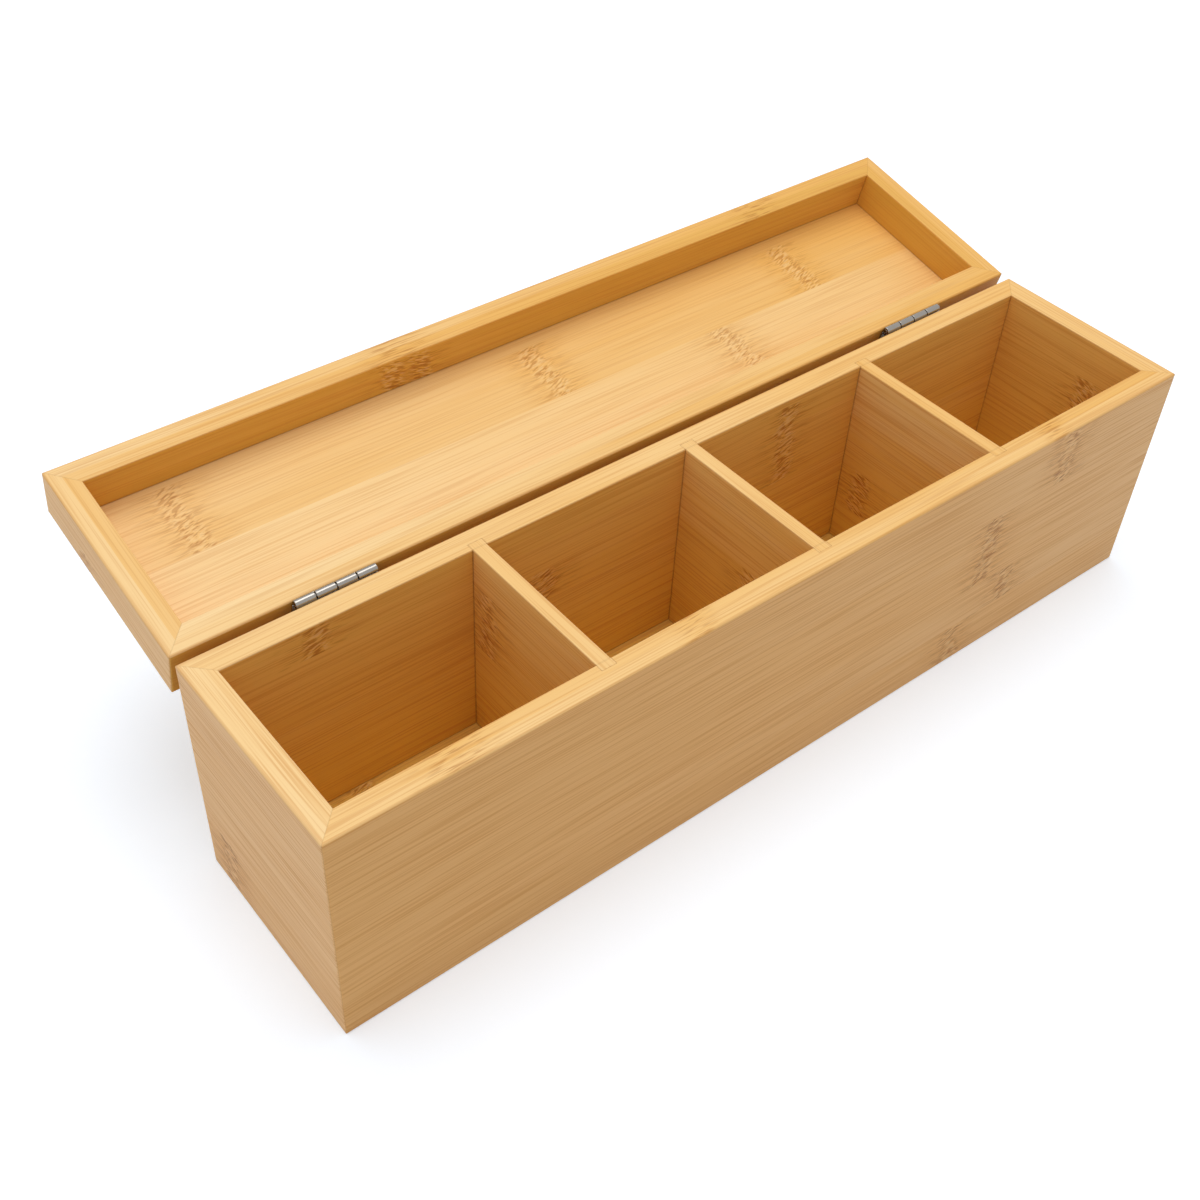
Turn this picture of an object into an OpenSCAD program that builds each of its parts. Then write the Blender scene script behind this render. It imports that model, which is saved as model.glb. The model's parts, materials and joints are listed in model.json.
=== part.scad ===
// Tea bag box of solid bamboo boards: four mitred walls round a let-in bottom, three dividers
// standing in housings, and a shallow framed lid on two small butt hinges behind the back wall.
// The origin is the centre of the base. +X runs along the box, the front faces -Y and +Z is up.
// The lid stands fully open: it is drawn closed first and then turned back about the hinge pins.

/* [Box] */
// Outside length, left to right
box_length = 380; // [340:1:440]
// Outside depth, front to back
box_depth = 84; // [76:1:110]
// Height of the walls
box_height = 95; // [70:0.5:130]
// Thickness of the walls and of the lid rails
wall_t = 9.5; // [8:0.5:12]
// Thickness of the bottom board
bottom_t = 11; // [4:0.5:14]
// How far the bottom board is let into the walls
bottom_let_in = 4; // [2:0.5:5]

/* [Compartments] */
// Clear length of the first compartment from the left
bay_1 = 92.5; // [70:0.5:110]
// Clear length of the second compartment
bay_2 = 86.5; // [70:0.5:110]
// Clear length of the third compartment; the fourth takes the rest
bay_3 = 83; // [70:0.5:110]
// Thickness of the dividers
divider_t = 5.5; // [4:0.5:8]
// Depth of the housings that hold the ends of the dividers
housing_depth = 3; // [2:0.5:4.5]

/* [Lid] */
// Height of the lid from its rim to its top
lid_height = 19.5; // [16:0.5:30]
// Thickness of the lid panel
lid_panel_t = 4; // [3:0.5:6]
// How far the lid panel is let into the rails
lid_panel_let_in = 4; // [2:0.5:5]
// Seam between the rims of the closed lid and the box
lid_seam = 0.2; // [0.1:0.1:0.6]
// How far the lid turns back before the heads of facing hinge screws meet
lid_open_angle = 168; // [160:1:172]

/* [Hinges] */
// Length of each hinge
hinge_length = 30; // [26:1:40]
// Distance from the end of the box to the hinge
hinge_inset = 42; // [25:1:60]
// Height of each leaf, from the pin to the far edge of the leaf
leaf_height = 10.5; // [9.5:0.5:14]
// Thickness of the sheet that the leaves are stamped from
leaf_t = 0.7; // [0.5:0.1:0.9]
// Radius on the far corners of the leaves
leaf_corner_r = 1.2; // [0.5:0.1:2]
// Number of knuckles on one hinge, both leaves together
knuckle_count = 4; // [3:1:6]
// Gap between neighbouring knuckles
knuckle_gap = 0.4; // [0.3:0.1:0.6]
// Diameter of the hinge pin
pin_d = 1.5; // [1.2:0.1:2]

/* [Hinge screws] */
// Diameter of the screws
screw_d = 2; // [1.6:0.1:2.4]
// Length of the screws under the head
screw_length = 6.5; // [5:0.5:7.5]
// Diameter of the screw heads
screw_head_d = 3.8; // [3.4:0.1:4.4]
// Distance between the two screws of a leaf
screw_spacing = 18; // [14:1:20]
// Distance from the pin down to the screws
screw_drop = 6.5; // [6:0.5:7.5]
// Width of the cross slots in the screw heads
cross_w = 0.6; // [0.4:0.1:0.8]
// Depth of the cross slots
cross_depth = 0.7; // [0.4:0.1:0.8]

/* [Edges and fits] */
// Radius on the outside edges of the box and the lid
outer_round = 0.8; // [0.4:0.1:1.5]
// Radius on the inside edges of the rims and on the dividers
inner_round = 0.4; // [0.2:0.1:0.6]
// Radius on the ends of the knuckles and on the screw heads
metal_round = 0.25; // [0.1:0.05:0.35]
// Clearance round boards that stand in a housing or rabbet
board_fit = 0.1; // [0.05:0.05:0.2]
// Radial clearance of the pin in the knuckles
pin_fit = 0.05; // [0.02:0.01:0.08]
// Radial clearance of the screws in the leaves and pilot holes
screw_fit = 0.05; // [0.02:0.01:0.1]
// Clearance between the barrel and the wood or leaf beside it
barrel_clearance = 0.2; // [0.2:0.05:0.4]
// Gap left between facing screw heads with the lid fully open
head_gap = 0.1; // [0.1:0.05:0.3]

/* [Hidden] */
$fn = 48;
// How far a cutting shape reaches past the face it starts from
over = 1;

// Clear space between the walls
inner_length = box_length - 2 * wall_t;
inner_depth = box_depth - 2 * wall_t;

// Left faces of the three dividers
divider_left_x = -inner_length / 2 + bay_1;
divider_middle_x = divider_left_x + divider_t + bay_2;
divider_right_x = divider_middle_x + divider_t + bay_3;

// Barrel of the hinge, and the pin's axis behind the back faces
bore_r = pin_d / 2 + pin_fit;
barrel_r = bore_r + leaf_t;
axis_offset = barrel_r + barrel_clearance;
axis_y = box_depth / 2 + axis_offset;
axis_z = box_height + lid_seam / 2;
knuckle_pitch = (hinge_length + knuckle_gap) / knuckle_count;
knuckle_length = knuckle_pitch - knuckle_gap;
hinge_x = box_length / 2 - hinge_inset - hinge_length / 2;

// With the lid open the two leaves stand either side of a plane through the pin. The screw
// heads are as tall as that plane allows at their upper edge, less half the gap between them.
half_fold = (180 - lid_open_angle) / 2;
head_h = axis_offset - leaf_t + (screw_drop - screw_head_d / 2) * tan(half_fold) - head_gap / 2;

bamboo = "#DDB27A";
bamboo_shade = "#C08A4A";
lid_bamboo = "#F0C586";
steel = "#B9B7B2";

// ---- Shapes shared by the boards ----

// Waste outside a rounded corner at the origin, for material in +X +Y
module corner_waste(r) {
  difference() {
    translate([-over, -over]) square(r + over);
    translate([r, r]) circle(r);
  }
}

// Section through a wall or rail: x from the outside face inwards, y from the closed edge,
// which carries the let-in board, to the open rim
module frame_section(height, board_t, let_in) {
  difference() {
    square([wall_t, height]);
    translate([wall_t - let_in, -over]) square([let_in + over, board_t + over]);
    corner_waste(outer_round);
    translate([0, height]) mirror([0, 1]) corner_waste(outer_round);
    translate([wall_t, height]) rotate(180) corner_waste(inner_round);
  }
}

// One board of a mitred frame, lying along +X with its outside face on y = 0
module mitred_board(length, height, board_t, let_in) {
  difference() {
    intersection() {
      rotate([90, 0, 90]) linear_extrude(length) frame_section(height, board_t, let_in);
      linear_extrude(height)
        polygon([[0, 0], [length, 0], [length - wall_t, wall_t], [wall_t, wall_t]]);
    }
    for (end = [0, 1])
      translate([end * length, 0, -over])
        mirror([end, 0, 0])
          linear_extrude(height + 2 * over) corner_waste(outer_round);
  }
}

// A board of the frame in its place: side 0 is the front, 1 right, 2 back and 3 left
module frame_board(side, height, board_t, let_in) {
  across = side % 2 == 0;
  length = across ? box_length : box_depth;
  reach = across ? box_depth : box_length;
  rotate(90 * side)
    translate([-length / 2, -reach / 2, 0])
      mitred_board(length, height, board_t, let_in);
}

// A flat board let into the four sides of a frame
module let_in_board(thickness, let_in) {
  size_x = inner_length + 2 * (let_in - board_fit);
  size_y = inner_depth + 2 * (let_in - board_fit);
  translate([-size_x / 2, -size_y / 2, 0]) cube([size_x, size_y, thickness]);
}

// ---- Box body ----

module box_wall(side) {
  frame_board(side, box_height, bottom_t, bottom_let_in);
}

// Grooves in the front and back walls for the ends of the dividers
module divider_housings() {
  depth = inner_depth + 2 * housing_depth;
  for (x = [divider_left_x, divider_middle_x, divider_right_x])
    translate([x - board_fit, -depth / 2, bottom_t])
      cube([divider_t + 2 * board_fit, depth, box_height]);
}

module front_wall() {
  color(bamboo)
    difference() {
      box_wall(0);
      divider_housings();
    }
}

module back_wall() {
  color(bamboo)
    difference() {
      box_wall(2);
      divider_housings();
      for (x = [-hinge_x, hinge_x])
        at_hinge(x) pilot_holes();
    }
}

module left_wall() {
  color(bamboo) box_wall(3);
}

module right_wall() {
  color(bamboo) box_wall(1);
}

module bottom_board() {
  color(bamboo_shade) let_in_board(bottom_t, bottom_let_in);
}

// A divider whose left face is at x, standing on the bottom board, flush with the rim
module divider(x) {
  width = inner_depth + 2 * (housing_depth - board_fit);
  height = box_height - bottom_t;
  color(bamboo_shade)
    translate([x, 0, bottom_t])
      difference() {
        translate([0, -width / 2, 0]) cube([divider_t, width, height]);
        for (face = [0, 1])
          translate([face * divider_t, inner_depth / 2, height])
            mirror([face, 0, 0])
              rotate([90, 0, 0])
                linear_extrude(inner_depth) mirror([0, 1]) corner_waste(inner_round);
      }
}

module left_divider() {
  divider(divider_left_x);
}

module middle_divider() {
  divider(divider_middle_x);
}

module right_divider() {
  divider(divider_right_x);
}

// ---- Lid ----

// Turns what is drawn on the closed box back with the lid
module opened() {
  translate([0, axis_y, axis_z])
    rotate([-lid_open_angle, 0, 0])
      translate([0, -axis_y, -axis_z]) children();
}

// Puts a frame that is drawn upwards from its closed edge upside down on the box
module as_lid() {
  opened()
    translate([0, 0, box_height + lid_seam + lid_height])
      mirror([0, 0, 1]) children();
}

module lid_rail(side) {
  as_lid() frame_board(side, lid_height, lid_panel_t, lid_panel_let_in);
}

module lid_front_rail() {
  color(lid_bamboo) lid_rail(0);
}

module lid_back_rail() {
  color(lid_bamboo)
    difference() {
      lid_rail(2);
      for (x = [-hinge_x, hinge_x])
        opened() at_hinge(x) on_lid_side() pilot_holes();
    }
}

module lid_left_rail() {
  color(lid_bamboo) lid_rail(3);
}

module lid_right_rail() {
  color(lid_bamboo) lid_rail(1);
}

module lid_panel() {
  color(lid_bamboo) as_lid() let_in_board(lid_panel_t, lid_panel_let_in);
}

// ---- Hinges ----
// A hinge is drawn round its pin, which lies along X through the origin, with the box leaf
// hanging down the back face of the wall at y = -axis_offset.

// Puts a hinge at its place on the closed box
module at_hinge(x) {
  translate([x, axis_y, axis_z]) children();
}

// Turns what is drawn for the box leaf into what belongs to the lid leaf
module on_lid_side() {
  mirror([0, 0, 1]) children();
}

// Half section of a cylinder that stands on y = 0, with rounded outer edges at the ends asked for
module rounded_bar_profile(r, length, round_foot) {
  difference() {
    square([r, length]);
    translate([r, length]) rotate(180) corner_waste(metal_round);
    if (round_foot) translate([r, 0]) mirror([1, 0]) corner_waste(metal_round);
  }
}

// One knuckle round the pin, starting at x = 0
module knuckle() {
  rotate([0, 90, 0])
    rotate_extrude()
      difference() {
        rounded_bar_profile(barrel_r, knuckle_length, true);
        translate([-over, -over]) square([bore_r + over, knuckle_length + 2 * over]);
      }
}

// Flat part of a leaf below the barrel, with its far corners rounded
module leaf_plate() {
  top = barrel_r + barrel_clearance;
  translate([-hinge_length / 2, -axis_offset + leaf_t, 0])
    rotate([90, 0, 0])
      linear_extrude(leaf_t)
        difference() {
          translate([0, -leaf_height]) square([hinge_length, leaf_height - top]);
          for (end = [0, 1])
            translate([end * hinge_length, -leaf_height])
              mirror([end, 0]) corner_waste(leaf_corner_r);
        }
}

// A leaf that carries every second knuckle, counted from the left, starting with the first given
module leaf(first) {
  difference() {
    union() {
      leaf_plate();
      for (i = [first : 2 : knuckle_count - 1])
        translate([-hinge_length / 2 + i * knuckle_pitch, 0, 0]) {
          knuckle();
          // Neck where the sheet rises beside the pin and rolls over into the knuckle
          translate([0, -axis_offset, -barrel_r - barrel_clearance - leaf_t])
            cube([knuckle_length, leaf_t, barrel_r + barrel_clearance + leaf_t]);
        }
    }
    at_screws() cylinder(h = 4 * leaf_t, r = screw_d / 2 + screw_fit, center = true);
  }
}

// The two screw places of a leaf, on its outer face, with +Z pointing away from the wood
module at_screws() {
  for (side = [-1, 1])
    translate([side * screw_spacing / 2, -axis_offset + leaf_t, -screw_drop])
      rotate([-90, 0, 0]) children();
}

module pilot_holes() {
  depth = screw_length + 2 * screw_fit;
  at_screws()
    translate([0, 0, -depth]) cylinder(h = depth, r = screw_d / 2 + screw_fit);
}

// A pan head screw with a cross slot; its point is a cone as long as the screw is thick
module screws() {
  at_screws() {
    difference() {
      rotate_extrude() rounded_bar_profile(screw_head_d / 2, head_h, false);
      for (turn = [0, 90])
        rotate(turn)
          translate([-screw_head_d / 3, -cross_w / 2, head_h - cross_depth])
            cube([screw_head_d * 2 / 3, cross_w, cross_depth + over]);
    }
    translate([0, 0, -screw_length + screw_d]) cylinder(h = screw_length - screw_d, d = screw_d);
    translate([0, 0, -screw_length]) cylinder(h = screw_d, d1 = 0, d2 = screw_d);
  }
}

module box_leaf(x) {
  color(steel) at_hinge(x) leaf(0);
}

module lid_leaf(x) {
  color(steel) opened() at_hinge(x) on_lid_side() leaf(1);
}

// The pin stays in the knuckles of the box leaf, flush with the ends of the barrel
module pin(x) {
  color(steel)
    at_hinge(x)
      translate([-hinge_length / 2, 0, 0])
        rotate([0, 90, 0])
          rotate_extrude() rounded_bar_profile(pin_d / 2, hinge_length, true);
}

module box_screws(x) {
  color(steel) at_hinge(x) screws();
}

module lid_screws(x) {
  color(steel) opened() at_hinge(x) on_lid_side() screws();
}

front_wall();
back_wall();
left_wall();
right_wall();
bottom_board();
left_divider();
middle_divider();
right_divider();
lid_front_rail();
lid_back_rail();
lid_left_rail();
lid_right_rail();
lid_panel();
box_leaf(-hinge_x);  // left_hinge_box_leaf
lid_leaf(-hinge_x);  // left_hinge_lid_leaf
pin(-hinge_x);  // left_hinge_pin
box_screws(-hinge_x);  // left_hinge_box_screws
lid_screws(-hinge_x);  // left_hinge_lid_screws
box_leaf(hinge_x);  // right_hinge_box_leaf
lid_leaf(hinge_x);  // right_hinge_lid_leaf
pin(hinge_x);  // right_hinge_pin
box_screws(hinge_x);  // right_hinge_box_screws
lid_screws(hinge_x);  // right_hinge_lid_screws
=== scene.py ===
"""Looks of a bamboo tea bag box: laminated boards, a framed lid and two small steel hinges."""

import json
import math

import bpy
from bpy.props import FloatProperty, FloatVectorProperty, PointerProperty
from mathutils import Matrix, Vector


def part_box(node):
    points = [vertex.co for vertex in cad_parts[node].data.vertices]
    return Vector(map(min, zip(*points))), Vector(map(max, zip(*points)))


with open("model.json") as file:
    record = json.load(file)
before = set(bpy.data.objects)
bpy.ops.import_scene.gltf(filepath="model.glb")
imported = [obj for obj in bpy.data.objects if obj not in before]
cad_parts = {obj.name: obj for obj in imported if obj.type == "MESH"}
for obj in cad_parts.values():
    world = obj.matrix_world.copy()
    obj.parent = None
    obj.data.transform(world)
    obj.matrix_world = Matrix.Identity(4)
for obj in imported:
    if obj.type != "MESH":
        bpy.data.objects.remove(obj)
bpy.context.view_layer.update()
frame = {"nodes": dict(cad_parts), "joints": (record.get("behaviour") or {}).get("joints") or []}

bl_info = {
    "name": "Bamboo Tea Bag Box",
    "version": (1, 0, 0),
    "blender": (4, 5, 0),
    "location": "View3D > Sidebar > Tea Box",
    "description": "Finishes the boards, lid and hinges of a bamboo tea bag box and sets its stage",
    "category": "Object",
}

MM = 0.001
# Thickness of the walls and rails, depth of the housings that hold the dividers, and depth of the
# lid from its rim to its panel, in millimetres
WALL = (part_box("right_wall")[1].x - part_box("right_wall")[0].x) / MM
HOUSING = 3.0
PANEL = 15.5
DIVIDERS = ("left_divider", "middle_divider", "right_divider")
WHITE = (1, 1, 1, 1)


def srgb(code):
    """An sRGB hex colour as linear red, green, blue and alpha."""
    parts = [int(code[i:i + 2], 16) / 255 for i in (1, 3, 5)]
    return [c / 12.92 if c <= 0.04045 else ((c + 0.055) / 1.055) ** 2.4 for c in parts] + [1.0]


def put(tree, kind, inputs=None, **settings):
    """Adds a node and returns its first output in use. An input given as the output of another
    node is linked, and any other value is set."""
    node = tree.nodes.new("ShaderNode" + kind)
    for key, value in settings.items():
        setattr(node, key, value)
    for key, value in (inputs or {}).items():
        if isinstance(value, bpy.types.NodeSocket):
            tree.links.new(value, node.inputs[key])
        else:
            node.inputs[key].default_value = value
    return next((socket for socket in node.outputs if socket.enabled), None)


def colour_property(label, about, code):
    return FloatVectorProperty(
        name=label, description=about, subtype="COLOR", size=4, min=0, max=1, default=srgb(code)
    )


# ---- Sizes and colours that a user would change ----


class BambooFinish(bpy.types.PropertyGroup):
    pale: colour_property("Pale bamboo", "Lightest tone of the lacquered strips", "#F9D8A0")
    honey: colour_property("Honey bamboo", "Main tone of the lacquered strips", "#EDB763")
    amber: colour_property("Amber bamboo", "Deepest tone of the lacquered strips", "#DDA846")
    # Painted light: the tint the inner faces take with depth, for the light bounced inside the box
    painted_bounce_tint: colour_property("Golden bamboo", "Inner faces of the box, kept out of the light", "#EDC259")
    tan: colour_property("Sanded face", "Tone of the broad outer faces, sanded dull", "#F5C086")
    fibre: colour_property("Fibre", "Tone of the darker bundles of fibre", "#CF8B3C")
    fleck: colour_property("Node fleck", "Dark flecks where a node of the cane was", "#A8611E")
    # The glue line colour also paints the shade in the inner corners where the boards meet
    joint: colour_property("Glue line", "Thin line where two boards meet", "#84501F")
    fibre_spacing: FloatProperty(
        name="Fibre spacing", description="Distance between bundles of fibre across the grain",
        default=1.3 * MM, min=0.3 * MM, max=4 * MM, unit="LENGTH",
    )
    streak_spacing: FloatProperty(
        name="Streak spacing", description="Distance between soft streaks across the grain",
        default=2.4 * MM, min=1 * MM, max=20 * MM, unit="LENGTH",
    )
    node_width: FloatProperty(
        name="Node width", description="Width of a node mark along the grain",
        default=11 * MM, min=3 * MM, max=20 * MM, unit="LENGTH",
    )
    roughness: FloatProperty(
        name="Roughness", description="Roughness of the satin lacquer",
        default=0.48, min=0, max=1, subtype="FACTOR",
    )


class SteelFinish(bpy.types.PropertyGroup):
    bright: colour_property("Bright steel", "Tone of the polished high spots", "#9E9A95")
    dull: colour_property("Dull steel", "Tone of the duller patches", "#948F88")
    roughness: FloatProperty(
        name="Roughness", description="Roughness of the tumbled plating",
        default=0.17, min=0, max=1, subtype="FACTOR",
    )


class StageSetting(bpy.types.PropertyGroup):
    floor: colour_property("Floor", "Colour of the paper in the light it sends back", "#C4C4C3")
    seen_floor: colour_property("Seen floor", "Colour of the paper to the eye, before its glow", "#DEE6F0")
    lens: FloatProperty(
        name="Lens", description="Focal length on a 36 mm wide sensor",
        default=46.189, min=10, max=200,
    )
    stand: FloatVectorProperty(
        name="Camera place", description="Where the camera stands", subtype="TRANSLATION",
        size=3, default=(-0.3009, -0.2796, 0.42999), unit="LENGTH",
    )
    turn: FloatProperty(
        name="Camera turn", description="Direction of view, from +Y towards -X",
        default=math.radians(-40.741), unit="ROTATION",
    )
    drop: FloatProperty(
        name="Camera drop", description="How far the camera looks down",
        default=math.radians(43.338), unit="ROTATION",
    )
    roll: FloatProperty(
        name="Camera roll", description="Tilt of the camera about its line of view",
        default=math.radians(3.263), unit="ROTATION",
    )
    key: FloatProperty(name="Key lamp", description="Power of the lamp overhead, in watts",
                       default=33.0, min=0, max=1000)
    side: FloatProperty(name="Side lamp", description="Power of the lamp on the left, in watts",
                        default=0.4, min=0, max=1000)
    sky: FloatProperty(name="Room light", description="Strength of the light from all round",
                       default=0.6, min=0, max=2)


# ---- Frames of the boards ----
# Each board is read in millimetres in a frame of its own. x runs along the grain from the middle
# of the board. y runs across its width: from the underside up in the walls and dividers, from the
# middle in the bottom, from the rim down in the lid's rails, and from the hinged edge outwards in
# its panel. z runs through its thickness from its outer face, or from the left face of a divider
# and the upper face of the bottom and the panel.

X, Y, Z = Vector((1, 0, 0)), Vector((0, 1, 0)), Vector((0, 0, 1))


def lid_frame():
    """The edge of the open lid's rim on the hinged side, the way from it outwards and the way down."""
    hinge = [j for j in frame["joints"] if j["name"] == "lid_hinge"][0]
    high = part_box("back_wall")[1]
    axis = Vector(hinge["pos_m"])
    fold = math.radians(180 - hinge["range_deg"][1])
    outward = Vector((0, math.cos(fold), math.sin(fold)))
    down = Vector((0, math.sin(fold), -math.cos(fold)))
    corner = axis + (axis.y - high.y) * outward + (axis.z - high.z) * down
    corner.x = 0
    return corner, outward, down


def board_frames():
    """Origin, way of the grain and way across the width of each board."""
    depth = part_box("back_wall")[1].y
    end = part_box("right_wall")[1].x
    corner, outward, down = lid_frame()
    frames = {
        "front_wall": (-depth * Y, X, Z),
        "back_wall": (depth * Y, X, Z),
        "left_wall": (-end * X, Y, Z),
        "right_wall": (end * X, Y, Z),
        "bottom_board": (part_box("bottom_board")[1].z * Z, X, Y),
        "lid_front_rail": (corner + 2 * depth * outward, X, down),
        "lid_back_rail": (corner, X, down),
        "lid_left_rail": (corner - end * X + depth * outward, outward, down),
        "lid_right_rail": (corner + end * X + depth * outward, outward, down),
        "lid_panel": (corner + PANEL * MM * down, X, outward),
    }
    for name in DIVIDERS:
        frames[name] = (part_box(name)[0].x * X, Y, Z)
    return frames


FRAMES = board_frames()


def slats(edges, tones, drift=0.0, face=0.0, inner=0.0, rim=0.0, rim_drift=0.0, grain=0.5):
    """The laminated slats of a board: their edges across its width and the tone of each, from 0,
    pale, over 1, honey, to 2, amber. The tone drifts over 100 mm of grain, a painted falloff of light;
    face is how dull the outer face is sanded, inner is how much deeper the tone of the inner ply is,
    rim is the tone of the sanded rim with a drift of its own, and grain is how strongly the fibres show."""
    return {
        "edges": edges, "tones": tones, "drift": drift, "face": face, "inner": inner,
        "rim": rim, "rim_drift": rim_drift, "grain": grain,
    }


SLATS = {
    "front_wall": slats([20, 37, 70], [1.1, 0.85, 1.0, 0.9], drift=-0.3, face=0.6, inner=0.4, rim=0.53,
                        rim_drift=0.06),
    "back_wall": slats([28, 56, 82], [0.8, 0.9, 1.1, 1.3], rim=0.58, rim_drift=0.13),
    "left_wall": slats([25, 51, 74], [0.45, 0.32, 0.4, 0.26], face=0.6, inner=0.6, rim=0.08, grain=0.6),
    "right_wall": slats([28, 54, 78], [0.9, 1.0, 1.1, 1.0], face=0.5, inner=0.1, rim=0.7),
    "bottom_board": slats([-12, 14], [0.9, 0.8, 0.85], grain=0.4),
    "left_divider": slats([29, 52, 80], [1.0, 0.9, 0.8, 0.7], rim=0.45),
    "middle_divider": slats([32, 64], [1.0, 1.1, 0.8], rim=0.6),
    "right_divider": slats([29, 49, 73], [0.9, 0.9, 0.8, 0.6], rim=0.75),
    "lid_front_rail": slats([], [1.0], face=0.6, inner=0.9, rim=0.7, rim_drift=0.24, grain=0.55),
    # The hinged rail's outer ply is toned deep amber and its inner ply brought back: painted shade for the
    # dark gap between the open lid and the box
    "lid_back_rail": slats([], [1.9], inner=-0.6, rim=0.7, rim_drift=0.21, grain=0.4),
    "lid_left_rail": slats([], [0.3], face=0.5, inner=1.0, rim=0.3, rim_drift=0.2, grain=0.4),
    "lid_right_rail": slats([], [0.9], face=0.5, inner=1.1, rim=0.85, grain=0.4),
    "lid_panel": slats([18, 42], [0.43, 0.36, 0.7], drift=0.16, grain=0.28),
}

# Where the nodes of the cane show: the place along the grain, and from where to where across it
MARKS = {
    "front_wall": [(129.5, 70, 94.3), (94, 37, 70), (110.5, 20, 37), (84.5, 0, 20)],
    "back_wall": [(-147, 82, 94), (-59, 56, 70), (55.5, 56, 82), (56.5, 82, 92), (119, 0, 28)],
    "left_wall": [(27.5, 0, 25)],
    "right_wall": [(-12, 54, 78)],
    "bottom_board": [(-137.5, 14, 40), (-28.5, -12, 14), (66, -40, -12), (122, 14, 40)],
    "left_divider": [(25, 52, 80)],
    "middle_divider": [(-7, 32, 64)],
    "right_divider": [(22, 29, 49)],
    "lid_front_rail": [(-62, 1, 21), (-50, 1, 21)],
    "lid_back_rail": [(64, 4, 21)],
    "lid_left_rail": [(15, 12, 20)],
    "lid_right_rail": [],
    "lid_panel": [(-155, 42, 72), (-5, 42, 69), (71, 18, 42), (125.5, 42, 69)],
}
# On the rims only the stretched fibres of a node show: the place, and how far they spread from it
RIM_MARKS = {
    "front_wall": [(-52, 12), (-142.5, 22), (122, 10)],
    "lid_front_rail": [(118.5, 18), (-57, 22)],
}


def seams():
    """Where each board meets its neighbours, in its own frame: lines across the grain and lines
    along it, each with the depths between which it shows, then the height of the rim and half the
    length of the board to the tips of its mitres."""
    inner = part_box("back_wall")[0].y / MM
    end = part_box("right_wall")[0].x / MM
    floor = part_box("bottom_board")[1].z / MM
    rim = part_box("back_wall")[1].z / MM
    sides = [corner.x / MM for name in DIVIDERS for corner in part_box(name)]

    def lines(places, low=-1, high=WALL + 1):
        """Lines at these places that show between two depths, or else through the whole board."""
        return [(place, low, high) for place in places]

    # Walls and rails meet the others on their inner face, and the walls also on the rim, round
    # the housings. The bottom and the panel meet the others on their upper face alone
    skin = 0.3
    inside, housed = WALL - skin, WALL - HOUSING - 0.1
    long_ends, short_ends = lines((end, -end), inside), lines((inner, -inner), inside)
    long_wall = (long_ends + lines(sides, housed), lines([floor], inside), rim, end + WALL)
    end_wall = (short_ends, lines([floor], inside), rim, inner + WALL)
    long_rail = (long_ends, lines([PANEL], inside), 0, end + WALL)
    end_rail = (short_ends, lines([PANEL], inside), 0, inner + WALL)
    divider = (lines((inner, -inner)), lines([floor]), rim, None)
    bottom = (lines(sides + [end, -end], high=skin), lines((inner, -inner), high=skin), None, None)
    panel = (lines((end, -end), high=skin), lines((WALL, 2 * inner + WALL), high=skin), None, None)
    return {
        "front_wall": long_wall, "back_wall": long_wall,
        "left_wall": end_wall, "right_wall": end_wall,
        "left_divider": divider, "middle_divider": divider, "right_divider": divider,
        "bottom_board": bottom,
        "lid_front_rail": long_rail, "lid_back_rail": long_rail,
        "lid_left_rail": end_rail, "lid_right_rail": end_rail,
        "lid_panel": panel,
    }


SEAMS = seams()


# ---- Materials ----
# The patterns are in millimetres. An endless one changes only across the grain. The jumps shift
# the fibres along the grain, with the tone of the slat and the number of the board, so that no
# two slats show the same fibres side by side.

ENDLESS = 1e6
SLAT_JUMP, BOARD_JUMP = 930.0, 413.0


def blank(name):
    """A new material and its empty node tree."""
    material = bpy.data.materials.new(name)
    material.use_nodes = True
    material.node_tree.nodes.clear()
    return material, material.node_tree


def drawn_out(tree, place, length, pitch, seed=0.0, detail=2.0, slant=0.0):
    """A random pattern of features that are length by pitch millimetres, drawn out along the grain."""
    spot = put(tree, "Mapping", {"Vector": place, "Location": (0, seed, seed), "Rotation": (0, 0, slant),
                                 "Scale": (length, pitch, pitch)}, vector_type="TEXTURE")
    return put(tree, "TexNoise", {"Vector": spot, "Scale": 1.0, "Detail": detail})


def band(tree, value, middle, reach, core=0.0, height=1.0):
    """A smooth bump round the middle: height inside the core, and 0 from the reach outwards."""
    off = put(tree, "Math", {0: value, 1: middle}, operation="SUBTRACT")
    off = put(tree, "Math", {0: off}, operation="ABSOLUTE")
    return put(tree, "MapRange", {"Value": off, "From Min": reach, "From Max": core,
                                  "To Min": 0.0, "To Max": height}, interpolation_type="SMOOTHSTEP")


def slat_tones(tree, across, ply, layers):
    """The stepped tone of the slats across the width, and of the inner ply."""
    slat = layers["tones"][0]
    for edge, before, after in zip(layers["edges"], layers["tones"], layers["tones"][1:]):
        over = put(tree, "Math", {0: across, 1: edge}, operation="GREATER_THAN")
        slat = put(tree, "Math", {0: over, 1: after - before, 2: slat}, operation="MULTIPLY_ADD")
    return put(tree, "Math", {0: ply, 1: layers["inner"], 2: slat}, operation="MULTIPLY_ADD")


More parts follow.
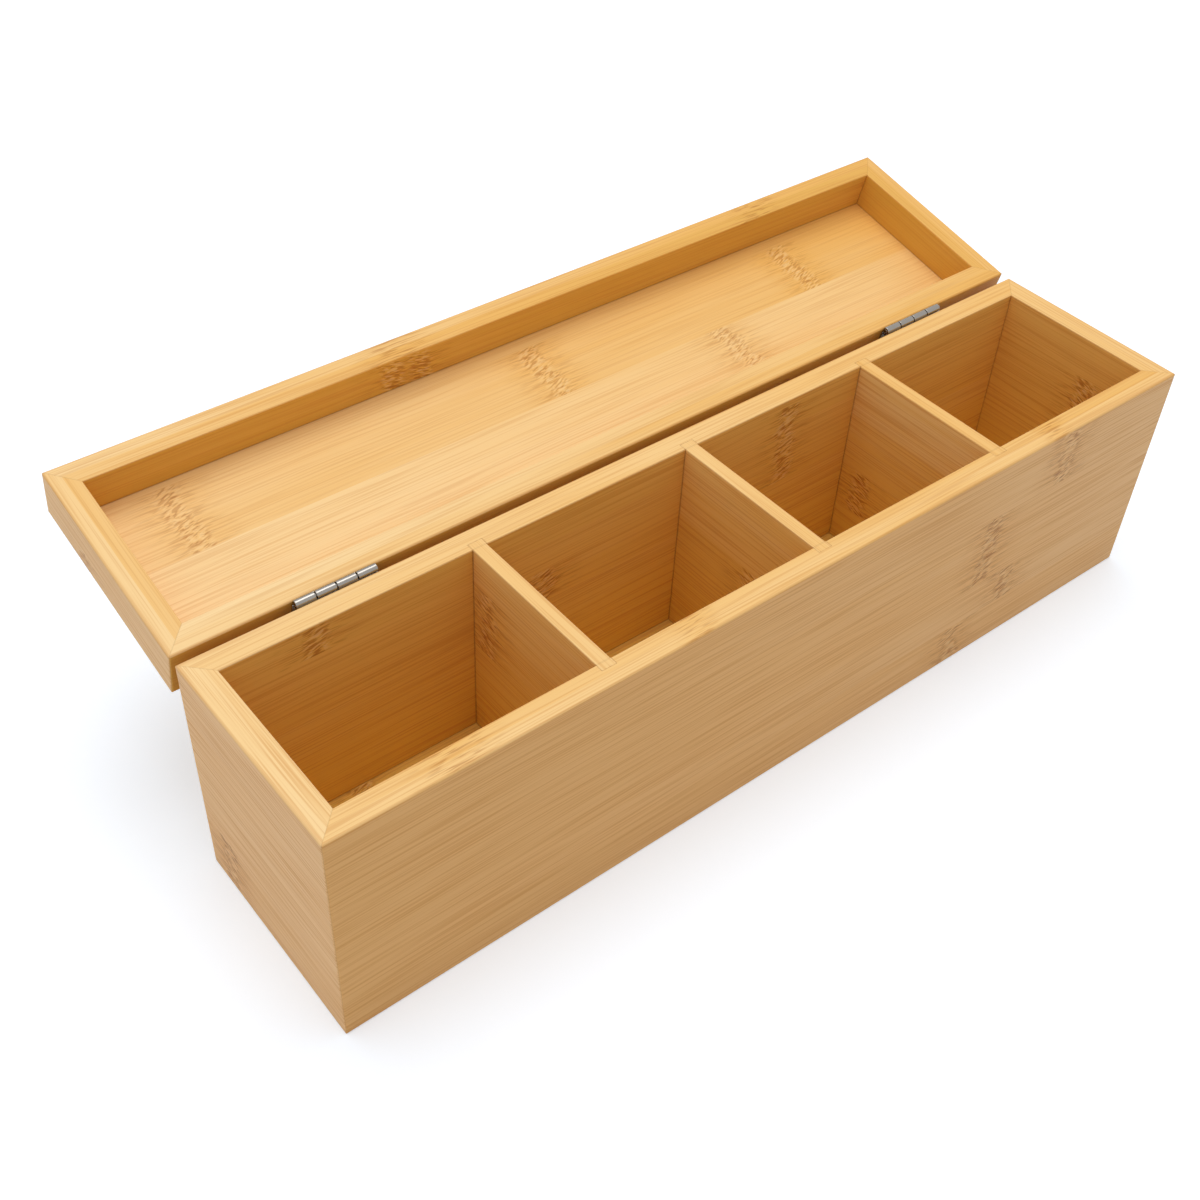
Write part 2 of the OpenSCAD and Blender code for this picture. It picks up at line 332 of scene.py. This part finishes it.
def node_bands(tree, board, along, across, top, marks, rim_marks, seed):
    """Crooked bands across the slats where the nodes of the cane were: the node itself, and the
    wider stretch of fibres that it disturbs, which alone shows on the rims."""
    # The bands bend to and fro by up to 6 mm
    crook = drawn_out(tree, board, length=ENDLESS, pitch=8.0, seed=seed)
    crook = put(tree, "MapRange", {"Value": crook, "To Min": -6.0, "To Max": 6.0})
    ribbon = put(tree, "Math", {0: along, 1: crook}, operation="ADD")
    half = bpy.context.scene.bamboo_finish.node_width / MM / 2
    core, edge, stretch = 0.4 * half, 1.2 * half, 3.6 * half
    near, halo = 0.0, 0.0
    for x, low, high in marks:
        inside = put(tree, "Math", {0: across, 1: (low + high) / 2, 2: (high - low) / 2},
                     operation="COMPARE")
        near = put(tree, "Math", {0: band(tree, ribbon, x, edge, core, inside), 1: near},
                   operation="MAXIMUM")
        halo = put(tree, "Math", {0: band(tree, ribbon, x, stretch, core, inside), 1: halo},
                   operation="MAXIMUM")
    for x, spread in rim_marks:
        halo = put(tree, "Math", {0: band(tree, ribbon, x, spread, height=top), 1: halo},
                   operation="MAXIMUM")
    return near, halo


def glue_and_shade_lines(tree, along, across, deep, crossing, running):
    """Thin soft lines where the board meets its neighbours, at half strength: glue lines, and painted shade
    in the inner corners.
    """
    dark = 0.0
    for value, places in ((along, crossing), (across, running)):
        for place, low, high in places:
            shown = put(tree, "Math", {0: deep, 1: (low + high) / 2, 2: (high - low) / 2},
                        operation="COMPARE")
            shown = put(tree, "Math", {0: shown, 1: 0.5}, operation="MULTIPLY")
            line = band(tree, value, place, reach=0.6, core=0.1, height=shown)
            dark = put(tree, "Math", {0: line, 1: dark}, operation="MAXIMUM")
    return dark


def cane_place(tree, board, slat_tone, near, number):
    """The place that the fibres are read at. Every slat is a cane of its own, so its pattern starts
    afresh, and the fibres waver slowly and swerve where they pass a node."""
    jump = put(tree, "Math", {0: slat_tone, 1: SLAT_JUMP, 2: BOARD_JUMP * number},
               operation="MULTIPLY_ADD")
    waver = drawn_out(tree, board, length=80.0, pitch=30.0, seed=7.0 * number, detail=1.0)
    waver = put(tree, "MapRange", {"Value": waver, "To Min": -0.6, "To Max": 0.6})
    swerve = drawn_out(tree, board, length=7.0, pitch=5.0, seed=5.0 * number, detail=1.0)
    swerve = put(tree, "MapRange", {"Value": swerve, "To Min": -1.6, "To Max": 1.6})
    waver = put(tree, "Math", {0: swerve, 1: near, 2: waver}, operation="MULTIPLY_ADD")
    shift = put(tree, "CombineXYZ", {0: jump, 1: waver, 2: waver})
    return put(tree, "VectorMath", {0: board, 1: shift}, operation="ADD")


def wood_tone(tree, along, ply, top, halo, slat_tone, layers, streak, patch):
    """The tone from 0, pale, to 2, amber: that of the slat or the sanded rim, changed by streaks
    and patches, and a little deeper round the nodes."""
    # The drift along the grain is a painted falloff of the light across the box
    slat_tone = put(tree, "Math", {0: along, 1: layers["drift"] / 100, 2: slat_tone},
                    operation="MULTIPLY_ADD")
    rim_tone = put(tree, "Math", {0: along, 1: layers["rim_drift"] / 100, 2: layers["rim"]},
                   operation="MULTIPLY_ADD")
    rim_tone = put(tree, "Math", {0: ply, 1: 0.4 * layers["inner"], 2: rim_tone},
                   operation="MULTIPLY_ADD")
    tone = put(tree, "Mix", {"Factor": top, 2: slat_tone, 3: rim_tone})
    for pattern, reach in ((streak, 0.2 * layers["grain"]), (patch, 0.1)):
        change = put(tree, "MapRange", {"Value": pattern, "From Min": 0.3, "From Max": 0.7,
                                        "To Min": -reach, "To Max": reach})
        tone = put(tree, "Math", {0: tone, 1: change}, operation="ADD")
    return put(tree, "Math", {0: halo, 1: 0.15, 2: tone}, operation="MULTIPLY_ADD")


def node_flecks(tree, shade, board, cane, near, halo, pitch, number, grain):
    """Dark dashes along the stretched fibres of a node, and pale and dark flecks in the node itself,
    the pale ones partly painted highlights. Returns the new colour and where the dark flecks are."""
    finish = bpy.context.scene.bamboo_finish
    dash = drawn_out(tree, cane, length=8.0, pitch=pitch, seed=17.0, detail=1.0)
    fleck = drawn_out(tree, board, length=3.2, pitch=0.7, seed=5.0 * number, detail=0.0,
                      slant=math.radians(18))
    dashes = put(tree, "MapRange", {"Value": dash, "From Min": 0.48, "From Max": 0.66,
                                    "To Max": 0.1 + 0.8 * grain}, interpolation_type="SMOOTHSTEP")
    dashes = put(tree, "Math", {0: dashes, 1: halo}, operation="MULTIPLY")
    shade = put(tree, "Mix", {"Factor": dashes, 6: shade, 7: finish.fleck}, data_type="RGBA")
    # Pale flecks, partly the wood's own and partly painted highlights of the embossed node marks
    pale_fleck_and_highlight = put(tree, "MapRange", {"Value": fleck, "From Min": 0.45, "From Max": 0.36, "To Max": 0.35},
                interpolation_type="SMOOTHSTEP")
    pale_fleck_and_highlight = put(tree, "Math", {0: pale_fleck_and_highlight, 1: near}, operation="MULTIPLY")
    shade = put(tree, "Mix", {"Factor": pale_fleck_and_highlight, 6: shade, 7: finish.pale}, data_type="RGBA")
    spots = put(tree, "MapRange", {"Value": fleck, "From Min": 0.55, "From Max": 0.64,
                                   "To Max": 0.2 + 0.8 * grain}, interpolation_type="SMOOTHSTEP")
    spots = put(tree, "Math", {0: spots, 1: near}, operation="MULTIPLY")
    return put(tree, "Mix", {"Factor": spots, 6: shade, 7: finish.fleck}, data_type="RGBA"), spots


def laminated_bamboo(name):
    """Laminated bamboo under a clear satin lacquer, planed and sanded along the grain.
    It shows slats of slightly different honey tones, hair-fine straight fibre lines, soft streaks,
    and bands of small flecks where the nodes of the cane were."""
    finish = bpy.context.scene.bamboo_finish
    origin, grain, width = FRAMES[name]
    turn = Matrix((grain, width, grain.cross(width)))
    number = sorted(FRAMES).index(name) + 1
    layers, marks, rim_marks = SLATS[name], MARKS[name], RIM_MARKS.get(name, [])
    crossing, running, rim, mitre = SEAMS[name]
    material, tree = blank(name + "_lacquered_bamboo")

    place = put(tree, "TexCoord").node.outputs["Object"]
    board = put(tree, "Mapping", {
        "Vector": place,
        "Location": [-c / MM for c in turn @ origin],
        "Rotation": turn.to_euler(),
        "Scale": (1 / MM, 1 / MM, 1 / MM),
    })
    along, across, inward = put(tree, "SeparateXYZ", {0: board}).node.outputs
    deep = put(tree, "Math", {0: inward}, operation="ABSOLUTE")
    ply = put(tree, "Math", {0: deep, 1: WALL / 2}, operation="GREATER_THAN")
    slat_tone = slat_tones(tree, across, ply, layers)
    # 1 on the rim and 0 off it, and the other way round
    top = 0.0 if rim is None else band(tree, across, rim, reach=0.7, core=0.5)
    bare = put(tree, "Math", {0: 1.0, 1: top}, operation="SUBTRACT")
    near, halo = node_bands(tree, board, along, across, top, marks, rim_marks, 3.0 * number)

    # Bundles of fibre are about 0.3 mm apart; they are drawn wider here so that they show
    pitch = finish.fibre_spacing / MM / 2
    cane = cane_place(tree, board, slat_tone, near, number)
    fibre = drawn_out(tree, cane, length=90 * pitch, pitch=pitch, detail=1.0)
    streak = drawn_out(tree, cane, length=130.0, pitch=finish.streak_spacing / MM, seed=3.0)
    patch = drawn_out(tree, cane, length=90.0, pitch=30.0, seed=11.0, detail=1.0)

    # From pale over honey to amber
    tone = wood_tone(tree, along, ply, top, halo, slat_tone, layers, streak, patch)
    half_tone = put(tree, "Math", {0: tone, 1: 0.5}, operation="MULTIPLY")
    shade = put(tree, "ValToRGB", {"Fac": half_tone})
    stops = shade.node.color_ramp.elements
    stops[0].color = finish.pale
    stops[1].color = finish.amber
    stops.new(0.5).color = finish.honey
    if not name.startswith("lid"):
        # Painted light: the inner faces take a warmer gold tint with depth, from 85 mm above the underside
        # down to 20 mm, for the light bounced inside the compartments. The outer half of a wall doesn't
        start = WALL / 2 if name.endswith("wall") else -1.0
        inside = put(tree, "Math", {0: deep, 1: start}, operation="GREATER_THAN")
        inside = put(tree, "Math", {0: inside, 1: bare}, operation="MULTIPLY")
        depth = put(tree, "MapRange", {"Value": across, "From Min": 20.0, "From Max": 85.0,
                                       "To Min": 0.9, "To Max": 0.1})
        inside = put(tree, "Math", {0: inside, 1: depth}, operation="MULTIPLY")
        shade = put(tree, "Mix", {"Factor": inside, 6: shade, 7: finish.painted_bounce_tint}, data_type="RGBA")
    if layers["face"]:
        dull = band(tree, deep, 0, reach=1.0, core=0.4, height=layers["face"])
        dull = put(tree, "Math", {0: dull, 1: bare}, operation="MULTIPLY")
        shade = put(tree, "Mix", {"Factor": dull, 6: shade, 7: finish.tan}, data_type="RGBA")

    # The darker fibres over it, fainter on the sanded rim, and the flecks of the nodes
    lines = put(tree, "MapRange", {"Value": fibre, "From Min": 0.42, "From Max": 0.7,
                                   "To Max": layers["grain"]}, interpolation_type="SMOOTHSTEP")
    sanded = put(tree, "MapRange", {"Value": top, "To Min": 1.0, "To Max": 0.75})
    lines = put(tree, "Math", {0: lines, 1: sanded}, operation="MULTIPLY")
    shade = put(tree, "Mix", {"Factor": lines, 6: shade, 7: finish.fibre}, data_type="RGBA")
    height = fibre
    if marks:
        shade, spots = node_flecks(tree, shade, board, cane, near, halo, pitch, number, layers["grain"])
        height = put(tree, "Math", {0: spots, 1: -0.4, 2: fibre}, operation="MULTIPLY_ADD")

    # Glue lines, with painted shade in the inner corners, fainter on the rim and in the mitres, and a
    # painted deeper line on the rounded outer edge of the rim, for the light on that edge
    dark = glue_and_shade_lines(tree, along, across, deep, crossing, running)
    fade = put(tree, "MapRange", {"Value": top, "To Min": 0.7, "To Max": 0.25})
    dark = put(tree, "Math", {0: dark, 1: fade}, operation="MULTIPLY")
    if mitre is not None:
        tip = put(tree, "Math", {0: along}, operation="ABSOLUTE")
        tip = put(tree, "Math", {0: tip, 1: deep}, operation="ADD")
        line = band(tree, tip, mitre, reach=0.35, core=0.1, height=0.16)
        dark = put(tree, "Math", {0: line, 1: dark}, operation="MAXIMUM")
        # Painted light: a deeper, warmer line along the rounded outer edge of the rim, for the light on
        # that edge
        outer = band(tree, deep, 0, reach=1.0, core=0.5, height=0.3)
        upper = band(tree, across, rim, reach=1.0, core=0.5)
        painted_arris_shade = put(tree, "Math", {0: outer, 1: upper}, operation="MULTIPLY")
        shade = put(tree, "Mix", {"Factor": painted_arris_shade, 6: shade, 7: finish.fibre}, data_type="RGBA")
    shade = put(tree, "Mix", {"Factor": dark, 6: shade, 7: finish.joint}, data_type="RGBA")

    rough = put(tree, "MapRange", {"Value": fibre, "To Min": finish.roughness - 0.06,
                                   "To Max": finish.roughness + 0.1})
    relief = put(tree, "Bump", {"Height": height, "Strength": 0.25, "Distance": 0.06 * MM})
    surface = put(tree, "BsdfPrincipled", {
        "Base Color": shade, "Roughness": rough, "Normal": relief, "IOR": 1.47,
        "Specular IOR Level": 0.25,
    })
    put(tree, "OutputMaterial", {"Surface": surface})
    return material


def plated_steel(name, line_pitch, grain):
    """Nickel-plated mild steel, rolled or turned and then tumbled: a soft silver shine with fine
    tool lines and duller patches about 3 mm across. A small grain along an axis draws the lines
    out along it."""
    finish = bpy.context.scene.steel_finish
    material, tree = blank(name)
    place = put(tree, "TexCoord").node.outputs["Object"]
    patches = put(tree, "TexNoise", {"Vector": place, "Scale": 0.3 / MM, "Detail": 2.0})
    tint = put(tree, "Mix", {"Factor": patches, 6: finish.bright, 7: finish.dull}, data_type="RGBA")
    spot = put(tree, "Mapping", {"Vector": place, "Scale": [s / line_pitch for s in grain]})
    lines = put(tree, "TexNoise", {"Vector": spot, "Scale": 1.0, "Detail": 1.0})
    rough = put(tree, "MapRange", {"Value": lines, "To Min": finish.roughness - 0.06,
                                   "To Max": finish.roughness + 0.06})
    relief = put(tree, "Bump", {"Height": lines, "Strength": 0.01, "Distance": 0.002 * MM})
    surface = put(tree, "BsdfPrincipled", {
        "Base Color": tint, "Roughness": rough, "Metallic": 1.0, "Normal": relief,
    })
    put(tree, "OutputMaterial", {"Surface": surface})
    return material


def looked_at(tree):
    """1 where the camera sees the surface, straight or in metal or glass, and 0 for other light."""
    path = put(tree, "LightPath").node.outputs
    seen = put(tree, "Math", {0: path["Is Camera Ray"], 1: path["Is Glossy Ray"]}, operation="MAXIMUM")
    return put(tree, "Math", {0: seen, 1: path["Is Transmission Ray"]}, operation="MAXIMUM")


def finish_nodes(names, make):
    """Gives each CAD node the material that make returns for it."""
    for name in names:
        piece = frame["nodes"][name]
        material = make(name)
        if not piece.material_slots:
            raise RuntimeError(f"{name} has no material slot")
        for slot in piece.material_slots:
            slot.material = material


# ---- Operators ----


class TEABOX_OT_walls(bpy.types.Operator):
    """Finish the four mitred walls in laminated bamboo"""

    bl_idname = "teabox.walls"
    bl_label = "Box Walls"

    def execute(self, context):
        finish_nodes(["front_wall", "back_wall", "left_wall", "right_wall"], laminated_bamboo)
        return {"FINISHED"}


class TEABOX_OT_bottom(bpy.types.Operator):
    """Finish the bottom board in laminated bamboo"""

    bl_idname = "teabox.bottom"
    bl_label = "Bottom Board"

    def execute(self, context):
        finish_nodes(["bottom_board"], laminated_bamboo)
        return {"FINISHED"}


class TEABOX_OT_dividers(bpy.types.Operator):
    """Finish the three dividers in laminated bamboo"""

    bl_idname = "teabox.dividers"
    bl_label = "Dividers"

    def execute(self, context):
        finish_nodes(DIVIDERS, laminated_bamboo)
        return {"FINISHED"}


class TEABOX_OT_lid(bpy.types.Operator):
    """Finish the rails and the panel of the lid in laminated bamboo"""

    bl_idname = "teabox.lid"
    bl_label = "Lid"

    def execute(self, context):
        finish_nodes(["lid_front_rail", "lid_back_rail", "lid_left_rail", "lid_right_rail", "lid_panel"],
                     laminated_bamboo)
        return {"FINISHED"}


class TEABOX_OT_hinges(bpy.types.Operator):
    """Finish the leaves, pins and screws of both hinges in plated steel"""

    bl_idname = "teabox.hinges"
    bl_label = "Hinges"

    def execute(self, context):
        # The leaves are rolled along the hinge, and the pins and screws turned
        rolled = plated_steel("rolled_plated_steel", line_pitch=0.25 * MM, grain=(0.06, 1, 1))
        turned = plated_steel("turned_plated_steel", line_pitch=0.2 * MM, grain=(1, 0.3, 0.3))
        for side in ("left", "right"):
            finish_nodes([f"{side}_hinge_box_leaf", f"{side}_hinge_lid_leaf"], lambda name: rolled)
            finish_nodes([f"{side}_hinge_pin", f"{side}_hinge_box_screws", f"{side}_hinge_lid_screws"],
                         lambda name: turned)
        return {"FINISHED"}


class TEABOX_OT_stage(bpy.types.Operator):
    """Lay the pale floor, hang the lamps and stand the camera"""

    bl_idname = "teabox.stage"
    bl_label = "Stage"

    def execute(self, context):
        scene = context.scene
        stage = scene.stage_setting
        scene.view_settings.view_transform = "Standard"
        bpy.ops.object.select_all(action="DESELECT")

        bpy.ops.mesh.primitive_plane_add(size=8, location=(0, 0, 0))
        floor = context.object
        floor.name = "paper_floor"
        paper, tree = blank("matt_white_paper")
        # Matt paper with a tooth of about 1 mm, coarser than real. The light it sends back to
        # the object is plain, and the eye sees it near white with the object's shadow on it
        place = put(tree, "TexCoord").node.outputs["Object"]
        tooth = put(tree, "TexNoise", {"Vector": place, "Scale": 0.9 / MM, "Detail": 2.0})
        relief = put(tree, "Bump", {"Height": tooth, "Strength": 0.05, "Distance": 0.1 * MM})
        matt = put(tree, "BsdfDiffuse", {"Color": stage.floor, "Normal": relief})
        seen = put(tree, "BsdfDiffuse", {"Color": stage.seen_floor})
        # Far from the box, where its shadow is gone, the paper is as white as the room behind it
        out = put(tree, "VectorMath", {0: place}, operation="LENGTH").node.outputs["Value"]
        strength = put(tree, "MapRange", {"Value": out, "From Min": 0.5, "From Max": 1.2,
                                          "To Min": 0.36, "To Max": 1.0})
        glow = put(tree, "Emission", {"Color": WHITE, "Strength": strength})
        bright = put(tree, "AddShader", {0: seen, 1: glow})
        surface = put(tree, "MixShader", {0: looked_at(tree), 1: matt, 2: bright})
        put(tree, "OutputMaterial", {"Surface": surface})
        floor.data.materials.append(paper)

        world = bpy.data.worlds.new("white_room")
        scene.world = world
        world.use_nodes = True
        tree = world.node_tree
        tree.nodes.clear()
        fill = put(tree, "Background", {"Color": WHITE, "Strength": stage.sky})
        wall = put(tree, "Background", {"Color": WHITE, "Strength": 1.0})
        surface = put(tree, "MixShader", {0: looked_at(tree), 1: fill, 2: wall})
        put(tree, "OutputWorld", {"Surface": surface})

        for name, power, size, spot, aim in (
            ("key_lamp", stage.key, (2.2, 2.2), (0.05, 0.32, 2.6), (0, 0.03, 0.05)),
            ("side_lamp", stage.side, (0.9, 0.16), (-1.2, -0.1, 0.12), (-0.1, 0, 0.05)),
        ):
            bpy.ops.object.light_add(type="AREA", location=spot)
            lamp = context.object
            lamp.name = name
            lamp.data.shape = "ELLIPSE"
            lamp.data.size, lamp.data.size_y = size
            lamp.data.energy = power
            lamp.rotation_euler = (Vector(aim) - Vector(spot)).to_track_quat("-Z", "Y").to_euler()

        bpy.ops.object.camera_add(location=stage.stand)
        camera = context.object
        camera.name = "photo_camera"
        camera.data.lens = stage.lens
        camera.data.sensor_width = 36
        look = Matrix.Rotation(stage.turn, 3, "Z") @ Matrix.Rotation(math.pi / 2 - stage.drop, 3, "X")
        camera.rotation_euler = (look @ Matrix.Rotation(stage.roll, 3, "Z")).to_euler()
        camera.data.clip_start = 0.01
        scene.camera = camera
        return {"FINISHED"}


class TEABOX_PT_tools(bpy.types.Panel):
    """Steps that finish the box and set its stage"""

    bl_idname = "TEABOX_PT_tools"
    bl_label = "Tea Bag Box"
    bl_space_type = "VIEW_3D"
    bl_region_type = "UI"
    bl_category = "Tea Box"

    def draw(self, context):
        layout = self.layout
        for group in (context.scene.bamboo_finish, context.scene.steel_finish, context.scene.stage_setting):
            column = layout.column(align=True)
            for key in group.bl_rna.properties.keys():
                if key not in ("rna_type", "name"):
                    column.prop(group, key)
        column = layout.column()
        for operator in OPERATORS:
            column.operator(operator.bl_idname)


OPERATORS = (TEABOX_OT_walls, TEABOX_OT_bottom, TEABOX_OT_dividers, TEABOX_OT_lid, TEABOX_OT_hinges,
             TEABOX_OT_stage)
GROUPS = {"bamboo_finish": BambooFinish, "steel_finish": SteelFinish, "stage_setting": StageSetting}


def register():
    for group in GROUPS.values():
        bpy.utils.register_class(group)
    for operator in OPERATORS:
        bpy.utils.register_class(operator)
    bpy.utils.register_class(TEABOX_PT_tools)
    for name, group in GROUPS.items():
        setattr(bpy.types.Scene, name, PointerProperty(type=group))


def unregister():
    for name in GROUPS:
        delattr(bpy.types.Scene, name)
    bpy.utils.unregister_class(TEABOX_PT_tools)
    for operator in reversed(OPERATORS):
        bpy.utils.unregister_class(operator)
    for group in reversed(list(GROUPS.values())):
        bpy.utils.unregister_class(group)


def main():
    register()
    bpy.ops.teabox.walls()
    bpy.ops.teabox.bottom()
    bpy.ops.teabox.dividers()
    bpy.ops.teabox.lid()
    bpy.ops.teabox.hinges()
    bpy.ops.teabox.stage()


if __name__ == "__main__":
    main()
